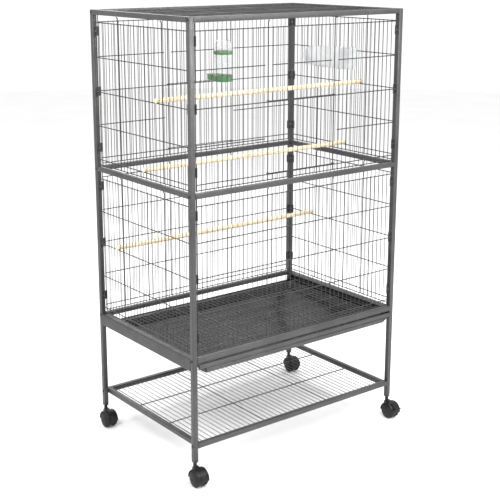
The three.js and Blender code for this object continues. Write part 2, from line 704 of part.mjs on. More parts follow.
// The hood: a web between the wheels, a fender over them and the stem on top. The stem stands at the origin.
function casterHood(name, group) {
  const from = -FENDER_BELOW;
  const step = (180 + 2 * FENDER_BELOW) / FENDER_STEPS;
  const angles = Array.from({ length: FENDER_STEPS + 1 }, (_, k) => from + step * k);
  const outer = angles.map((a) => roundAxle(fenderRadius, a));
  const inner = angles.map((a) => roundAxle(fenderRadius - FENDER_WALL, a));
  const fender = extrudeAlongX([...outer.reverse(), ...inner], -fenderHalf, fenderHalf);
  const rim = Array.from({ length: 16 }, (_, k) => roundAxle(WHEEL_RADIUS - WEB_MARGIN, k * 22.5));
  const web = extrudeAlongX(rim.reverse(), -HOOD_HALF, HOOD_HALF);
  const crownTop = WHEEL_RADIUS + fenderRadius - 1;
  const crown = box(-HOOD_HALF, HOOD_HALF, -CASTER_TRAIL, STEM_COLLAR + 1, WHEEL_RADIUS, crownTop);
  const collarTop = postFoot - PLUG_HEAD - PLUG_CLEARANCE;
  const stemTop = postFoot + STEM_INSERT;
  const stem = turned([[0, WHEEL_RADIUS], [STEM_COLLAR, WHEEL_RADIUS], [STEM_COLLAR, collarTop],
    [STEM_RADIUS, collarTop], [STEM_RADIUS, stemTop], [0, stemTop]], 8);
  const hole = turned([[0, -20], [AXLE_RADIUS + 0.5, -20], [AXLE_RADIUS + 0.5, 20], [0, 20]], 10)
    .rotateY(Math.PI / 2).translate(0, -CASTER_TRAIL, WHEEL_RADIUS);
  add(name, geometryOf(cutBy(joined([web, fender, crown, stem]), [hole])), BLACK_PLASTIC, group);
}

function casterWheels(name, group) {
  const half = [[0, WHEEL_OUTER], [WHEEL_RADIUS / 2, WHEEL_OUTER - 0.8], [WHEEL_RADIUS - 3, fenderHalf],
    [WHEEL_RADIUS, fenderHalf - 3], [WHEEL_RADIUS, WHEEL_INNER], [AXLE_RADIUS, WHEEL_INNER]];
  const points = [...half.map(([r, x]) => [r, -x]), ...[...half].reverse()];
  // The rim's flats face down, so that the wheel stands on one of them.
  const g = turned(points, WHEEL_SIDES).rotateZ(Math.PI / WHEEL_SIDES).rotateY(Math.PI / 2);
  const grow = 1 / Math.cos(Math.PI / WHEEL_SIDES);
  const mesh = add(name, g.scale(1, grow, grow), BLACK_PLASTIC, group);
  mesh.position.set(0, -CASTER_TRAIL, WHEEL_RADIUS);
}

// The foot lever over the front of the fender; pressing its tab locks the wheels.
function brakeLever(name, group) {
  const close = fenderRadius + 0.5;
  const far = close + LEVER_THICKNESS;
  const tip = fenderRadius + LEVER_REACH;
  const under = [62, 50, 38, 26].map((a) => roundAxle(close, a));
  const over = [roundAxle(far + 1, 32), roundAxle(far, 44), roundAxle(far, 62)];
  const points = [...under, roundAxle(tip - 1, 17), roundAxle(tip, 22), ...over];
  add(name, extrudeAlongX([...points].reverse(), -LEVER_WIDTH / 2, LEVER_WIDTH / 2), BLACK_PLASTIC, group);
}

Object.entries(CORNERS).forEach(([corner, [sx, sy]]) => {
  footPlug("foot_plug_" + corner, sx * postX, sy * postY);
  const group = new THREE.Group();
  group.position.set(sx * postX, sy * postY, 0);
  cage.add(group);
  casterHood("caster_hood_" + corner, group);
  casterWheels("caster_wheels_" + corner, group);
  if (corner === "front_right") brakeLever("brake_lever_" + corner, group);
});

// The origin is on the floor, under the middle of everything: the casters trail towards the front.
const bounds = new THREE.Box3().setFromObject(cage, true);
cage.position.y = -(bounds.min.y + bounds.max.y) / 2;

export default cage;
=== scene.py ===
"""Bird cage on a rolling stand: the visual model, built around the CAD frame. Metres, +Z up."""
import math

import bmesh
import bpy
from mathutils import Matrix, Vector


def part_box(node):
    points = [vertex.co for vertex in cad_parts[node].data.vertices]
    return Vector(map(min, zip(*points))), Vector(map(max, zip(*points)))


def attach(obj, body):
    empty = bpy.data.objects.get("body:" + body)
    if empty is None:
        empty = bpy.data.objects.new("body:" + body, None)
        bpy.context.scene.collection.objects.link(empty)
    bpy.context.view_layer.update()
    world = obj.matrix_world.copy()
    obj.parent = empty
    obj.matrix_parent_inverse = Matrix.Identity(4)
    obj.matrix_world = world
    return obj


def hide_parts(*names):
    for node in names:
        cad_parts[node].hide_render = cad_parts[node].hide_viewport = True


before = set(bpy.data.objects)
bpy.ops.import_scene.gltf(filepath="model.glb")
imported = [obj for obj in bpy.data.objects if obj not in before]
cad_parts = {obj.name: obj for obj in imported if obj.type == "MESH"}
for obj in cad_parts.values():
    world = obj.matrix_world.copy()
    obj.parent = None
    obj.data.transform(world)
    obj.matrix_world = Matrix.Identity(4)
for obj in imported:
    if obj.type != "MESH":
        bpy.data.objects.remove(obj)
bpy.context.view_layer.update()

MM = 0.001
SMOOTH_UP_TO = 35
SIDES = ("front", "right", "back", "left")
CORNERS = {"front_left": (-1, -1), "front_right": (1, -1), "back_left": (-1, 1), "back_right": (1, 1)}

# Camera, fitted to the frame's corners with a small lens shift.
CAMERA_PLACE = (-1.95179, -2.49815, 1.46477)
CAMERA_TILT = 0.2352
CAMERA_TURN = -0.6533
CAMERA_LENS = 76.04
CAMERA_SENSOR = 36
CAMERA_SHIFT = (0.0159, -0.08)
CAMERA_REACH = 60

# Lights: each one's place, disc size and power. All of them look at the same point.
LIGHTS = {
    "key_light": ((-0.5, -1.9, 2.9), 1.0, 48),
    "left_light": ((-3.2, 0.6, 1.6), 2.0, 6),
    "crown_light": ((-1.6, -0.7, 1.75), 0.6, 22),
    "front_light": ((0.7, -1.9, 1.75), 0.6, 30),
    "back_light": ((1.2, 3.2, 2.6), 2.4, 30),
    "top_light": ((0.2, 0.1, 3.2), 2.4, 45),
}
LIGHT_AIM = (0, 0, 0.7)
WORLD_STRENGTH = 1.08

# Wires: their radii, where they lie in a mat, and the doors' bars and rings.
WIRE = 0.9 * MM
ROW = 1.5 * MM
ROD = 1.6 * MM
EDGE = 1.3 * MM
PITCH = 17.55 * MM
ROW_SPACING = 102 * MM
ROW_LAYER = 2.45 * MM
LAYER_HALF = 1.1 * MM
DOOR_LAYER = 5.0 * MM
DOOR_BAR = 1.1 * MM
DOOR_BAR_INSET = 1.5 * MM
DOOR_BAR_BEND = 7 * MM
DOOR_WIRE_LAP = 1.4 * MM
RING_DEPTH = 4.3 * MM
RING_RADIUS = 4.1 * MM
RING_WIRE = 1.0 * MM
STOP_LAP = 2.4 * MM
OPENING_LAP = 1.6 * MM
TOP_ROW_DROP = 21 * MM
SILL_ROW_RISE = 17.7 * MM
ROW_BREAK = 13 * MM

# Frame. The domes are (radius, height) in millimetres.
TUBE_CORNER = 2.2 * MM
POST_BEVEL = 1.2 * MM
BOLT_HEIGHT = 2.2 * MM
BOLT_DOME = [(0, -0.2), (4.2, -0.2), (4.2, 0.5), (3.7, 1.3), (2.6, 1.9), (1.6, 2.1), (1.4, 1.3), (0, 1.3)]
SCREW_DOME = [(0, -0.2), (2.4, -0.2), (2.4, 0.5), (1.8, 1.1), (0.8, 1.3), (0, 1.3)]
SCREW_OFFSET = -2.2 * MM
CLIP_HEIGHT = 27 * MM
CLIP_SHEET = 1.4 * MM
CLIP_BELOW_RAIL = 48 * MM
CLIP_ABOVE_RAIL = 56 * MM
CLIP_BACK = 8 * MM
SHEET = 1.2 * MM
LEDGE_DEPTH = 30 * MM

# Casters: the fender's holes, and the brake lever. LEVER_CLOSE is from the wheels' axis to its underside.
HOLE_RADIUS = 2.1 * MM
HOLE_REACH = 4 * MM
LEVER_CLOSE = 29.1 * MM
LEVER_SHEET = 2.4 * MM
LEVER_WIDTH = 22 * MM

# Numbers of a Mix node's colour sockets.
COLOUR_A, COLOUR_B, COLOUR_OUT = 6, 7, 2


# ---- Camera and lights ----

def camera():
    data = bpy.data.cameras.new("camera")
    data.lens = CAMERA_LENS
    data.sensor_width = CAMERA_SENSOR
    data.shift_x, data.shift_y = CAMERA_SHIFT
    data.clip_end = CAMERA_REACH
    obj = bpy.data.objects.new("camera", data)
    obj.location = CAMERA_PLACE
    obj.rotation_euler = (math.pi / 2 - CAMERA_TILT, 0, CAMERA_TURN)
    bpy.context.scene.collection.objects.link(obj)
    bpy.context.scene.camera = obj


def area_light(name, place, size, power):
    data = bpy.data.lights.new(name, "AREA")
    data.shape = "DISK"
    data.size = size
    data.energy = power
    obj = bpy.data.objects.new(name, data)
    obj.location = place
    aim = Vector(LIGHT_AIM) - Vector(place)
    obj.rotation_euler = aim.to_track_quat("-Z", "Y").to_euler()
    bpy.context.scene.collection.objects.link(obj)


def studio():
    for name, (place, size, power) in LIGHTS.items():
        area_light(name, place, size, power)
    world = bpy.data.worlds.new("studio")
    world.use_nodes = True
    background = world.node_tree.nodes["Background"]
    background.inputs["Color"].default_value = (1, 1, 1, 1)
    background.inputs["Strength"].default_value = WORLD_STRENGTH
    bpy.context.scene.world = world
    bpy.context.scene.view_settings.view_transform = "Standard"


# ---- Materials ----

def shader(name, **sockets):
    """A new material, its node tree and its Principled node, with uniform values on the node's sockets."""
    material = bpy.data.materials.new(name)
    material.use_nodes = True
    tree = material.node_tree
    node = tree.nodes["Principled BSDF"]
    for socket, value in sockets.items():
        node.inputs[socket.replace("_", " ")].default_value = value
    return material, tree, node


def noise(tree, scale, detail, stretch=(1, 1, 1), distortion=0.0):
    """Noise over the object's own coordinates."""
    coordinates = tree.nodes.new("ShaderNodeTexCoord")
    mapping = tree.nodes.new("ShaderNodeMapping")
    mapping.inputs["Scale"].default_value = stretch
    texture = tree.nodes.new("ShaderNodeTexNoise")
    texture.inputs["Scale"].default_value = scale
    texture.inputs["Detail"].default_value = detail
    texture.inputs["Distortion"].default_value = distortion
    tree.links.new(coordinates.outputs["Object"], mapping.inputs["Vector"])
    tree.links.new(mapping.outputs["Vector"], texture.inputs["Vector"])
    return texture.outputs["Fac"]


def ramp(tree, factor, stops):
    """Colours between the stops, each (position, (r, g, b))."""
    node = tree.nodes.new("ShaderNodeValToRGB")
    elements = node.color_ramp.elements
    while len(elements) < len(stops):
        elements.new(0.5)
    for element, (position, colour) in zip(elements, stops):
        element.position = position
        element.color = (*colour, 1)
    tree.links.new(factor, node.inputs["Fac"])
    return node.outputs["Color"]


def spread(tree, factor, low, high):
    """The middle of a noise's range, stretched from low to high."""
    node = tree.nodes.new("ShaderNodeMapRange")
    node.inputs["From Min"].default_value = 0.3
    node.inputs["From Max"].default_value = 0.7
    node.inputs["To Min"].default_value = low
    node.inputs["To Max"].default_value = high
    tree.links.new(factor, node.inputs["Value"])
    return node.outputs["Result"]


def feed(tree, socket, value):
    """Links an output to the socket, or puts a uniform colour or number on it."""
    if isinstance(value, bpy.types.NodeSocket):
        tree.links.new(value, socket)
    else:
        socket.default_value = (*value, 1) if isinstance(value, tuple) else value


def mixed(tree, factor, a, b, blend="MIX"):
    """Two colours, or outputs that carry one, blended by the factor."""
    node = tree.nodes.new("ShaderNodeMix")
    node.data_type = "RGBA"
    node.blend_type = blend
    feed(tree, node.inputs["Factor"], factor)
    feed(tree, node.inputs[COLOUR_A], a)
    feed(tree, node.inputs[COLOUR_B], b)
    return node.outputs[COLOUR_OUT]


def bumped(tree, node, height, strength, distance):
    bump = tree.nodes.new("ShaderNodeBump")
    bump.inputs["Strength"].default_value = strength
    bump.inputs["Distance"].default_value = distance
    tree.links.new(height, bump.inputs["Height"])
    tree.links.new(bump.outputs["Normal"], node.inputs["Normal"])


def painted_metal(name, dark, light, worn, roughness, metallic, grain):
    """Powder coat: a soft tone change, fine worn specks, and the orange peel of sprayed paint."""
    material, tree, node = shader(name, Metallic=metallic, Specular_IOR_Level=0.5)
    tone = ramp(tree, noise(tree, scale=9, detail=3), [(0.3, dark), (0.7, light)])
    specks = ramp(tree, noise(tree, scale=420, detail=2), [(0.66, (0, 0, 0)), (0.74, (1, 1, 1))])
    sheen = spread(tree, noise(tree, scale=30, detail=4), roughness - 0.07, roughness + 0.09)
    tree.links.new(mixed(tree, specks, tone, worn), node.inputs["Base Color"])
    tree.links.new(sheen, node.inputs["Roughness"])
    bumped(tree, node, noise(tree, scale=grain, detail=3), strength=0.25, distance=0.0006)
    return material


def moulded_plastic(name, dark, light, roughness, grain=1300, depth=0.2, **sockets):
    """Plastic with a fine moulded grain, a little dust in its tone and handled, shinier patches."""
    material, tree, node = shader(name, **sockets)
    tone = ramp(tree, noise(tree, scale=14, detail=5), [(0.32, dark), (0.7, light)])
    sheen = spread(tree, noise(tree, scale=22, detail=4), roughness - 0.08, roughness + 0.1)
    tree.links.new(tone, node.inputs["Base Color"])
    tree.links.new(sheen, node.inputs["Roughness"])
    bumped(tree, node, noise(tree, scale=grain, detail=2), strength=depth, distance=0.0004)
    return material


def pine(name):
    """Turned softwood with the grain along X, a few darker streaks and open pores."""
    material, tree, node = shader(name, Specular_IOR_Level=0.3)
    rings = noise(tree, scale=26, detail=3, stretch=(0.9, 12, 12), distortion=0.9)
    streaks = noise(tree, scale=60, detail=4, stretch=(0.6, 20, 20))
    pores = noise(tree, scale=70, detail=4, stretch=(0.5, 16, 16))
    grain = ramp(tree, rings, [(0.28, (0.50, 0.38, 0.25)), (0.46, (0.64, 0.53, 0.38)),
                               (0.66, (0.72, 0.62, 0.47))])
    fibres = ramp(tree, streaks, [(0.3, (0.82, 0.78, 0.72)), (0.6, (1, 1, 1))])
    tree.links.new(mixed(tree, 0.8, grain, fibres, "MULTIPLY"), node.inputs["Base Color"])
    tree.links.new(spread(tree, rings, 0.72, 0.5), node.inputs["Roughness"])
    bumped(tree, node, pores, strength=0.35, distance=0.0006)
    return material


def clear_plastic(name, tint, roughness, transmission):
    """Thin see-through plastic with faint handling haze."""
    material, tree, node = shader(name, Transmission_Weight=transmission, IOR=1.2)
    tone = ramp(tree, noise(tree, scale=20, detail=3), [(0.3, tint), (0.7, (0.97, 0.98, 0.98))])
    haze = spread(tree, noise(tree, scale=55, detail=5), roughness, roughness + 0.12)
    tree.links.new(tone, node.inputs["Base Color"])
    tree.links.new(haze, node.inputs["Roughness"])
    bumped(tree, node, noise(tree, scale=90, detail=3), strength=0.12, distance=0.0008)
    return material


def floor_paint():
    material, tree, node = shader("floor_paint", Specular_IOR_Level=0.2)
    tone = ramp(tree, noise(tree, scale=3, detail=4), [(0.3, (0.87, 0.87, 0.87)), (0.7, (0.9, 0.9, 0.9))])
    sheen = spread(tree, noise(tree, scale=40, detail=4), 0.65, 0.8)
    tree.links.new(tone, node.inputs["Base Color"])
    tree.links.new(sheen, node.inputs["Roughness"])
    return material


camera()
studio()
FRAME_PAINT = painted_metal("frame_paint", (0.04, 0.04, 0.041), (0.062, 0.062, 0.063), (0.17, 0.17, 0.17),
                            roughness=0.42, metallic=0.3, grain=900)
APRON_PAINT = painted_metal("apron_paint", (0.032, 0.032, 0.033), (0.05, 0.05, 0.051), (0.16, 0.16, 0.16),
                            roughness=0.45, metallic=0.3, grain=700)
WIRE_PAINT = painted_metal("wire_paint", (0.022, 0.022, 0.023), (0.036, 0.036, 0.037), (0.12, 0.12, 0.12),
                           roughness=0.4, metallic=0.3, grain=1200)
GRATE_PAINT = painted_metal("grate_paint", (0.05, 0.05, 0.051), (0.085, 0.085, 0.087), (0.2, 0.2, 0.2),
                            roughness=0.38, metallic=0.3, grain=1200)
# The clips' paint is darker than the posts' paint that the clips really share: painted shade, standing in for
# the shade on backlit clips.
SHADE_DARKENED_CLIP_PAINT = painted_metal("clip_paint_with_painted_shade", (0.022, 0.022, 0.023), (0.034, 0.034, 0.035), (0.09, 0.09, 0.09),
                           roughness=0.4, metallic=0.2, grain=900)
BOLT_PAINT = painted_metal("bolt_paint", (0.012, 0.012, 0.012), (0.02, 0.02, 0.02), (0.1, 0.1, 0.1),
                           roughness=0.35, metallic=0.5, grain=1500)
SCREW_STEEL = painted_metal("screw_steel", (0.2, 0.2, 0.2), (0.3, 0.3, 0.3), (0.5, 0.5, 0.5),
                            roughness=0.35, metallic=0.8, grain=1500)
TRAY_PLASTIC = moulded_plastic("tray_plastic", (0.004, 0.004, 0.004), (0.008, 0.008, 0.008),
                               roughness=0.22, grain=120, depth=0.02)
CASTER_PLASTIC = moulded_plastic("caster_plastic", (0.003, 0.003, 0.003), (0.007, 0.007, 0.007),
                                 roughness=0.4, Specular_IOR_Level=0.3)
WHEEL_PLASTIC = moulded_plastic("wheel_plastic", (0.004, 0.004, 0.004), (0.01, 0.01, 0.01),
                                roughness=0.5, grain=700, depth=0.35, Specular_IOR_Level=0.3)
PLUG_PLASTIC = moulded_plastic("plug_plastic", (0.012, 0.012, 0.013), (0.02, 0.02, 0.021), roughness=0.45)
GREEN_PLASTIC = moulded_plastic("green_plastic", (0.04, 0.12, 0.05), (0.055, 0.16, 0.07),
                                roughness=0.28, grain=500, depth=0.1, Subsurface_Weight=0.1)
PINE = pine("pine")
CLEAR_PLASTIC = clear_plastic("clear_plastic", (0.92, 0.94, 0.94), roughness=0.06, transmission=0.95)
FROSTED_PLASTIC = clear_plastic("frosted_plastic", (0.66, 0.67, 0.68), roughness=0.4, transmission=0.6)


# ---- Mesh building ----

def in_metres(profile):
    return [(a * MM, b * MM) for a, b in profile]


def circle(radius, sides):
    turns = [2 * math.pi * (k + 0.5) / sides for k in range(sides)]
    return [(radius * math.cos(a), radius * math.sin(a)) for a in turns]


def rounded_rectangle(half_x, half_y, radius, steps=4, side_points=0):
    """Counter-clockwise points with an arc at each corner, and side_points more on each straight side."""
    arcs = []
    for sx, sy, start in ((1, 1, 0), (-1, 1, 90), (-1, -1, 180), (1, -1, 270)):
        angles = [math.radians(start + 90 * k / steps) for k in range(steps + 1)]
        middle_x, middle_y = sx * (half_x - radius), sy * (half_y - radius)
        arcs.append([(middle_x + radius * math.cos(a), middle_y + radius * math.sin(a)) for a in angles])
    points = []
    for arc, following in zip(arcs, arcs[1:] + arcs[:1]):
        points += arc
        (x0, y0), (x1, y1) = arc[-1], following[0]
        for k in range(1, side_points + 1):
            t = k / (side_points + 1)
            points.append((x0 + (x1 - x0) * t, y0 + (y1 - y0) * t))
    return points


def filleted(points, radius, steps=4, closed=True):
    """The outline with each corner rounded by a curve that starts and ends radius away from it."""
    result = []
    count = len(points)
    for k, corner in enumerate(points):
        here = Vector(corner)
        if not closed and k in (0, count - 1):
            result.append(tuple(here))
            continue
        before = Vector(points[k - 1]) - here
        after = Vector(points[(k + 1) % count]) - here
        reach = min(radius, before.length * 0.45, after.length * 0.45)
        a = here + before.normalized() * reach
        b = here + after.normalized() * reach
        for step in range(steps + 1):
            t = step / steps
            result.append(tuple(a * (1 - t) ** 2 + here * 2 * t * (1 - t) + b * t ** 2))
    return result


def strip(path, thickness):
    """The closed outline of sheet of that thickness whose middle follows the path."""
    points = [Vector(p) for p in path]
    normals = []
    for k in range(len(points)):
        along = (points[min(k + 1, len(points) - 1)] - points[max(k - 1, 0)]).normalized()
        normals.append(Vector((-along.y, along.x)) * thickness / 2)
    left = [tuple(p + n) for p, n in zip(points, normals)]
    right = [tuple(p - n) for p, n in zip(points, normals)]
    return left + right[::-1]


class Shape:
    """Vertices and faces that grow into one mesh object."""

    def __init__(self):
        self.verts = []
        self.faces = []

    def loft(self, rings, closed=False):
        """A skin over rings of equally many points, capped at both ends unless it closes on itself."""
        base = len(self.verts)
        n = len(rings[0])
        count = len(rings)
        self.verts += [tuple(v) for ring in rings for v in ring]
        for i in range(count if closed else count - 1):
            a = base + i * n
            b = base + ((i + 1) % count) * n
            self.faces += [(a + k, a + (k + 1) % n, b + (k + 1) % n, b + k) for k in range(n)]
        if not closed:
            self.faces.append(tuple(base + k for k in reversed(range(n))))
            self.faces.append(tuple(base + (count - 1) * n + k for k in range(n)))

    def wire(self, points, radius, sides=8, closed=False):
        """A round wire along the points."""
        points = [Vector(p) for p in points]
        count = len(points)
        rings = []
        normal = None
        for k, p in enumerate(points):
            ahead = points[(k + 1) % count] if closed else points[min(k + 1, count - 1)]
            behind = points[k - 1] if closed else points[max(k - 1, 0)]
            along = (ahead - behind).normalized()
            if normal is None:
                normal = along.orthogonal()
            normal = (normal - along * normal.dot(along)).normalized()
            side = along.cross(normal)
            rings.append([p + normal * a + side * b for a, b in circle(radius, sides)])
        self.loft(rings, closed)

    def hoop(self, centre, u, v, radius, wire_radius, turns=20):
        """A closed ring of wire in the plane of u and v."""
        angles = [2 * math.pi * k / turns for k in range(turns)]
        self.wire([Vector(centre) + Vector(u) * radius * math.cos(a) + Vector(v) * radius * math.sin(a)
                   for a in angles], wire_radius, 8, closed=True)

    def prism(self, outline, place, length, bevel=0.0):
        """The outline, given in the first two axes of place(a, b, c), drawn out along the third."""
        reach = max(max(abs(a), abs(b)) for a, b in outline)
        stations = [(0, bevel), (0.3 * bevel, 0.3 * bevel), (bevel, 0)] if bevel else [(0, 0)]
        levels = stations + [(length - c, inset) for c, inset in reversed(stations)]
        self.loft([[place(a * (1 - inset / reach), b * (1 - inset / reach), c) for a, b in outline]
                   for c, inset in levels])

    def turned(self, profile, place, sides):
        """A body of revolution: profile is [(radius, along)], and place(a, b, c) has c along the axis."""
        self.loft([[place(a, b, c) for a, b in circle(max(r, 0.02 * MM), sides)] for r, c in profile])

    def build(self, name, material, sharp=SMOOTH_UP_TO):
        """The mesh object; edges over sharp degrees stay hard."""
        mesh = bpy.data.meshes.new(name)
        mesh.from_pydata(self.verts, [], self.faces)
        work = bmesh.new()
        work.from_mesh(mesh)
        bmesh.ops.recalc_face_normals(work, faces=work.faces)
        work.to_mesh(mesh)
        work.free()
        mesh.polygons.foreach_set("use_smooth", [True] * len(mesh.polygons))
        mesh.set_sharp_from_angle(angle=math.radians(sharp))
        mesh.materials.append(material)
        obj = bpy.data.objects.new(name, mesh)
        bpy.context.scene.collection.objects.link(obj)
        return obj


def pierce(obj, shape):
    """Cuts the closed bodies of the shape out of the object's mesh."""
    cutter = shape.build("cutter", CASTER_PLASTIC)
    cut = obj.modifiers.new("holes", "BOOLEAN")
    cut.operation = "DIFFERENCE"
    cut.solver = "EXACT"
    cut.use_self = True
    cut.object = cutter
    graph = bpy.context.evaluated_depsgraph_get()
    mesh = bpy.data.meshes.new_from_object(obj.evaluated_get(graph))
    obj.modifiers.clear()
    obj.data = mesh
    bpy.data.objects.remove(cutter)


def piece(name, shape, material, nodes=(), body="cage", sharp=SMOOTH_UP_TO):
    """A shape as an object that rides a body and, where it has nodes, stands for them."""
    obj = shape.build(name, material, sharp)
    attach(obj, body)
    if nodes:
        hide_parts(*nodes)
    return obj


def upright(x, y, z=0.0):
    """Places an outline in X and Y at (x, y), with its length up Z from z."""
    return lambda a, b, c: (x + a, y + b, z + c)


def along_x(x, y, z):
    return lambda a, b, c: (x + c, y + a, z + b)


def along_y(x, y, z):
    return lambda a, b, c: (x + a, y + c, z + b)


def corner_post(corner):
    """(x, y) of the middle of a post and its half width."""
    sx, sy = CORNERS[corner]
    lo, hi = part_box("post_" + corner)
    rail_lo, rail_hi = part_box("top_rail_front")
    half = (rail_hi[2] - rail_lo[2]) / 2
    x = (hi[0] - BOLT_HEIGHT - half) if sx > 0 else (lo[0] + BOLT_HEIGHT + half)
    y = (hi[1] - half) if sy > 0 else (lo[1] + half)
    return x, y, half


# ---- Frame ----

RAIL_LEVELS = ("top", "mid", "floor", "shelf")
RAIL_NAMES = [level + "_rail_" + side for level in ("top", "mid", "shelf") for side in SIDES]
RAIL_NAMES += ["floor_rail_front", "floor_rail_back"]


def rail_height(level):
    """The lower and upper Z of a level of rails."""
    lo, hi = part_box(level + "_rail_front")
    return lo[2], hi[2]


def rails():
    for name in RAIL_NAMES:
        lo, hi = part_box(name)
        size = [hi[k] - lo[k] for k in range(3)]
        middle = [(hi[k] + lo[k]) / 2 for k in range(3)]
        shape = Shape()
        if size[0] > size[1]:
            outline = rounded_rectangle(size[1] / 2, size[2] / 2, TUBE_CORNER)
            shape.prism(outline, along_x(lo[0], middle[1], middle[2]), size[0])
        else:
            outline = rounded_rectangle(size[0] / 2, size[2] / 2, TUBE_CORNER)
            shape.prism(outline, along_y(middle[0], lo[1], middle[2]), size[1])
        piece("tube_" + name, shape, FRAME_PAINT, [name])


def clip_heights():
    heights = []
    for upper, lower in (("top", "mid"), ("mid", "floor")):
        top = rail_height(upper)[0]
        foot = rail_height(lower)[1]
        heights += [top - CLIP_BELOW_RAIL, (top + foot) / 2, foot + CLIP_ABOVE_RAIL]
    return heights


def posts():
    for corner, (sx, sy) in CORNERS.items():
        x, y, half = corner_post(corner)
        lo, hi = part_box("post_" + corner)
        shape = Shape()
        outline = rounded_rectangle(half, half, TUBE_CORNER)
        shape.prism(outline, upright(x, y, lo[2]), hi[2] - lo[2], POST_BEVEL)
        piece("post_tube_" + corner, shape, FRAME_PAINT, ["post_" + corner])
        heads = Shape()
        for level in RAIL_LEVELS:
            low, high = rail_height(level)
            face = x + sx * half
            heads.turned(in_metres(BOLT_DOME),
                         lambda a, b, c: (face + sx * c, y + a, (low + high) / 2 + b), 20)
        piece("bolts_" + corner, heads, BOLT_PAINT)
        clips = Shape()
        screws = Shape()
        for z in clip_heights():
            clip(clips, screws, x, y, half, sx, sy, z)
        # The clips get the darker paint, which is painted shade rather than their own colour.
        piece("wall_clips_" + corner, clips, SHADE_DARKENED_CLIP_PAINT)
        piece("clip_screws_" + corner, screws, SCREW_STEEL)


def clip(clips, screws, x, y, half, sx, sy, z):
    """Two bent plates on a post's inner faces, each hooked round an edge wire, and their screws."""
    for swap in (False, True):
        reach = (6.5 if swap else 7.5) * MM
        out = half - CLIP_BACK
        path = [(-1.2 * MM, 3.6 * MM), (-1.2 * MM, -1.9 * MM), (reach, -1.9 * MM),
                (reach + 2 * MM, -0.6 * MM), (reach + 2.2 * MM, 1.6 * MM)]
        outline = strip(filleted(path, 1.4 * MM, 3, closed=False), CLIP_SHEET)
        low = z - CLIP_HEIGHT / 2

        def place(a, b, c, swap=swap, out=out, low=low):
            along = half + a
            across = out + b
            if swap:
                return (x + sx * across, y - sy * along, low + c)
            return (x - sx * along, y + sy * across, low + c)

        clips.prism(outline, place, CLIP_HEIGHT)

        def screw_place(a, b, c, swap=swap):
            depth = half + c
            across = SCREW_OFFSET + a
            if swap:
                return (x + sx * across, y - sy * depth, z + b)
            return (x - sx * depth, y + sy * across, z + b)

        screws.turned(in_metres(SCREW_DOME), screw_place, 16)


# ---- Wire mats ----

def mat_spaces(width):
    """How many spaces a mat has, and the width of one."""
    spaces = round(width / PITCH)
    return spaces, width / spaces


def wire_mat(shape, at, width, low, high, stop, rods, rows, opening=None, overhang=0.0, hooks=True):
    """A welded mat: at(a, b, c) gives the point a across it, b along its uprights and c outwards of them."""
    spaces, pitch = mat_spaces(width)
    for i in range(spaces + 1):
        a = -width / 2 + i * pitch
        if i in (0, spaces):
            shape.wire([at(a, low, 0), at(a, high, 0)], EDGE, 10)
        elif i in rods:
            tip = [at(a, low, 0), at(a, high - 7 * MM, 0)]
            if hooks:
                tip += [at(a, high - 4 * MM, 0.6 * MM), at(a, high - 2 * MM, 2.4 * MM),
                        at(a, high - 2 * MM, 4.4 * MM)]
            else:
                tip.append(at(a, high, 0))
            shape.wire(tip, ROD, 12)
        elif opening and rods[0] < i < rods[1]:
            shape.wire([at(a, low, 0), at(a, opening[0] + OPENING_LAP, 0)], WIRE)
            shape.wire([at(a, opening[1] - OPENING_LAP, 0), at(a, stop, 0)], WIRE)
        else:
            shape.wire([at(a, low, 0), at(a, stop, 0)], WIRE)
    shape.wire([at(-width / 2, low + ROW, 0), at(width / 2, low + ROW, 0)], ROW)
    for b, breaks in rows:
        ends = [-width / 2 - overhang, *breaks, width / 2 + overhang]
        for start, end in zip(ends[::2], ends[1::2]):
            shape.wire([at(start, b, ROW_LAYER), at(end, b, ROW_LAYER)], ROW)


def wall_frame(side, tier):
    """(at, width, low, high) of a wall, from its CAD node's box."""
    lo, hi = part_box(tier + "_wall_" + side)
    low, high = lo[2], hi[2]
    x = (lo[0] + hi[0]) / 2
    y = (lo[1] + hi[1]) / 2
    if side == "front":
        return lambda a, b, c: (x + a, hi[1] - LAYER_HALF - c, b), hi[0] - lo[0] - 2 * ROW, low, high
    if side == "back":
        return lambda a, b, c: (x - a, lo[1] + LAYER_HALF + c, b), hi[0] - lo[0] - 2 * ROW, low, high
    if side == "right":
        return lambda a, b, c: (lo[0] + LAYER_HALF + c, y + a, b), hi[1] - lo[1] - 2 * ROW, low, high
    return lambda a, b, c: (hi[0] - LAYER_HALF - c, y - a, b), hi[1] - lo[1] - 2 * ROW, low, high


def wall_rods(side, spaces):
    """Which uprights of a wall are its two thick rods."""
    first = round(spaces / 3) if side in ("front", "back") else round(spaces / 4)
    return first, spaces - first


def row_heights(low, high):
    first = high - TOP_ROW_DROP
    last = low + SILL_ROW_RISE
    steps = round((first - last) / ROW_SPACING)
    return [first + (last - first) * k / steps for k in range(steps + 1)]


def walls():
    for tier in ("upper", "lower"):
        for side in SIDES:
            at, width, low, high = wall_frame(side, tier)
            spaces, pitch = mat_spaces(width)
            rods = wall_rods(side, spaces)
            heights = row_heights(low, high)
            rows = [(b, []) for b in heights]
            opening = None
            if tier == "upper" and side in ("front", "back"):
                rod = width / 2 - rods[0] * pitch
                middle = len(heights) // 2
                opening = (heights[-1], heights[middle])
                for k in range(1, middle):
                    rows[k] = (heights[k], [-rod - ROW_BREAK, -rod + ROW_BREAK,
                                            rod - ROW_BREAK, rod + ROW_BREAK])
                for k in range(middle + 1, len(heights) - 1):
                    rows[k] = (heights[k], [-rod - ROW_BREAK, rod + ROW_BREAK])
            shape = Shape()
            wire_mat(shape, at, width, low, high, heights[0] + STOP_LAP, rods, rows, opening)
            piece("wires_" + tier + "_" + side, shape, WIRE_PAINT, [tier + "_wall_" + side])


